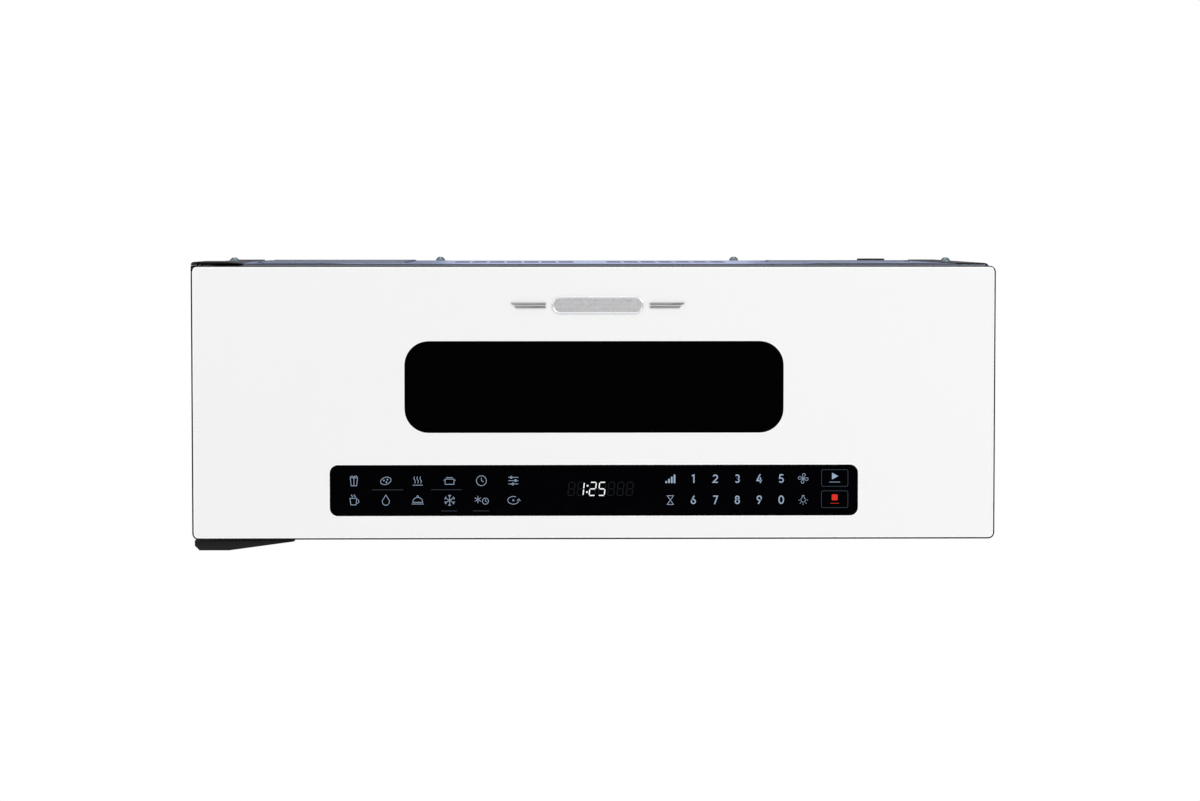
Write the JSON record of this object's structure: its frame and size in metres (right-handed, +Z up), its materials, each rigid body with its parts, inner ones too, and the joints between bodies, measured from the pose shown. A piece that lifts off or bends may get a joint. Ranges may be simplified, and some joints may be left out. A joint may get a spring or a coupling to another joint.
{
  "type": "over the range microwave oven",
  "caption": "Low-profile over-the-range microwave: full-width white door on a left hinge, black window and touch-glass strip, steel cabinet, turntable cavity, vent blower, wall plate.",
  "frame": {"origin": "on the wall plate's rear face, which lies on the wall, centred on the width, level with the underside of the cabinet", "axes": "+X to the right seen from the front, +Y towards the wall, +Z up; the door faces -Y"},
  "size_m": [0.759, 0.4666, 0.2758],
  "materials": {
    "black_paint": "satin",
    "base_paint": "satin",
    "galvanised_steel": "satin spangled zinc",
    "cavity_enamel": "gloss enamel",
    "black_plastic": "fine grain",
    "grey_plastic": "moulded",
    "bushing_plastic": "smooth",
    "screw_steel": "zinc bright",
    "mica": "matte",
    "lamp_white": "smooth",
    "aluminium": "satin",
    "transformer_steel": "varnished",
    "circuit_board": "satin",
    "charcoal": "porous",
    "lens_glass": "frosted",
    "door_white": "gloss",
    "window_black": "polished",
    "control_black": "polished",
    "inner_glass": "polished",
    "chrome": "polished",
    "tray_glass": "polished",
    "filter_mesh": "expanded mesh",
    "plunger_red": "gloss"
  },
  "bodies": {
    "cabinet": {"side_panel_left": "black_paint", "side_panel_right": "black_paint", "top_panel": "galvanised_steel", "base_pan": "base_paint", "back_panel": "galvanised_steel", "front_frame": "cavity_enamel", "wall_plate": "galvanised_steel", "upper_hinge_bracket": "black_paint", "lower_hinge_bracket": "galvanised_steel", "lower_hinge_cover": "black_plastic", "cabinet_screws": "screw_steel", "cord_bushing": "black_plastic", "oven_cavity": "cavity_enamel", "waveguide": "galvanised_steel", "waveguide_cover": "mica", "cavity_lamp": "lamp_white", "component_shelf": "galvanised_steel", "magnetron": "aluminium", "hv_transformer": "transformer_steel", "hv_capacitor": "aluminium", "noise_filter_board": "circuit_board", "fan_shroud": "grey_plastic", "fan_motor": "transformer_steel", "exhaust_duct": "galvanised_steel", "blower_housing": "grey_plastic", "blower_motor": "transformer_steel", "charcoal_filters": "charcoal", "lamp_lenses": "lens_glass", "cooktop_lamps": "lamp_white", "turntable_motor": "galvanised_steel", "turntable_motor_cover": "base_paint", "latch_board": "grey_plastic", "interlock_switches": "black_plastic"},
    "door": {"door_front_panel": "door_white", "window_glass": "window_black", "control_glass": "control_black", "display_module": "black_plastic", "control_board": "circuit_board", "door_frame": "black_plastic", "door_choke_panel": "galvanised_steel", "door_inner_glass": "inner_glass", "choke_cover": "black_plastic", "hinge_bushings": "bushing_plastic", "badge": "chrome", "latch_spring": "screw_steel"},
    "latch": {"latch_bar": "bushing_plastic"},
    "turntable": {"glass_turntable": "tray_glass", "turntable_coupler": "bushing_plastic"},
    "roller_ring": {"roller_ring": "bushing_plastic"},
    "roller_1": {"roller_wheel_1": "bushing_plastic"},
    "roller_2": {"roller_wheel_2": "bushing_plastic"},
    "roller_3": {"roller_wheel_3": "bushing_plastic"},
    "cooling_fan": {"cooling_fan": "grey_plastic"},
    "blower": {"blower_shaft": "screw_steel", "blower_wheels": "grey_plastic"},
    "grease_filter_left": {"grease_filter_left": "filter_mesh"},
    "grease_filter_right": {"grease_filter_right": "filter_mesh"},
    "lower_plunger": {"lower_switch_plunger": "plunger_red"},
    "middle_plunger": {"middle_switch_plunger": "plunger_red"},
    "upper_plunger": {"upper_switch_plunger": "plunger_red"}
  },
  "joints": [
    {"name": "door_hinge", "type": "hinge", "parent": "cabinet", "child": "door", "pos_m": [-0.3655, -0.443, 0.13], "axis": [0, 0, -1], "range_deg": [0, 105]},
    {"name": "latch_slide", "type": "slide", "parent": "door", "child": "latch", "axis": [0, 0, 1], "range_m": [0, 0.005], "stiffness_N_per_m": 300, "springref_m": -0.004, "deforming": ["latch_spring"]},
    {"name": "turntable_spin", "type": "hinge", "parent": "cabinet", "child": "turntable", "pos_m": [-0.04, -0.2445, 0.05], "axis": [0, 0, 1], "continuous": true},
    {"name": "roller_ring_spin", "type": "hinge", "parent": "cabinet", "child": "roller_ring", "pos_m": [-0.04, -0.2445, 0.0433], "axis": [0, 0, 1], "continuous": true},
    {"name": "roller_1_spin", "type": "hinge", "parent": "roller_ring", "child": "roller_1", "pos_m": [-0.04, -0.1325, 0.0433], "axis": [0, 1, 0], "continuous": true},
    {"name": "roller_2_spin", "type": "hinge", "parent": "roller_ring", "child": "roller_2", "pos_m": [-0.13699, -0.3005, 0.0433], "axis": [-0.866, -0.5, 0], "continuous": true},
    {"name": "roller_3_spin", "type": "hinge", "parent": "roller_ring", "child": "roller_3", "pos_m": [0.05699, -0.3005, 0.0433], "axis": [0.866, -0.5, 0], "continuous": true},
    {"name": "cooling_fan_spin", "type": "hinge", "parent": "cabinet", "child": "cooling_fan", "pos_m": [0.29475, -0.052, 0.1703], "axis": [0, 1, 0], "continuous": true},
    {"name": "blower_spin", "type": "hinge", "parent": "cabinet", "child": "blower", "pos_m": [0, -0.0395, 0.15], "axis": [1, 0, 0], "continuous": true},
    {"name": "grease_filter_left_slide", "type": "slide", "parent": "cabinet", "child": "grease_filter_left", "axis": [0, 0, -1], "range_m": [0, 0.06]},
    {"name": "grease_filter_right_slide", "type": "slide", "parent": "cabinet", "child": "grease_filter_right", "axis": [0, 0, -1], "range_m": [0, 0.06]},
    {"name": "lower_plunger_slide", "type": "slide", "parent": "cabinet", "child": "lower_plunger", "axis": [0, 1, 0], "range_m": [0, 0.0012], "stiffness_N_per_m": 150},
    {"name": "middle_plunger_slide", "type": "slide", "parent": "cabinet", "child": "middle_plunger", "axis": [0, 1, 0], "range_m": [0, 0.0012], "stiffness_N_per_m": 150},
    {"name": "upper_plunger_slide", "type": "slide", "parent": "cabinet", "child": "upper_plunger", "axis": [0, 1, 0], "range_m": [0, 0.0012], "stiffness_N_per_m": 150}
  ],
  "couplings": [
    {"joint": "roller_ring_spin", "follows": "turntable_spin", "ratio": 0.5},
    {"joint": "roller_1_spin", "follows": "turntable_spin", "ratio": -8},
    {"joint": "roller_2_spin", "follows": "turntable_spin", "ratio": -8},
    {"joint": "roller_3_spin", "follows": "turntable_spin", "ratio": -8}
  ]
}
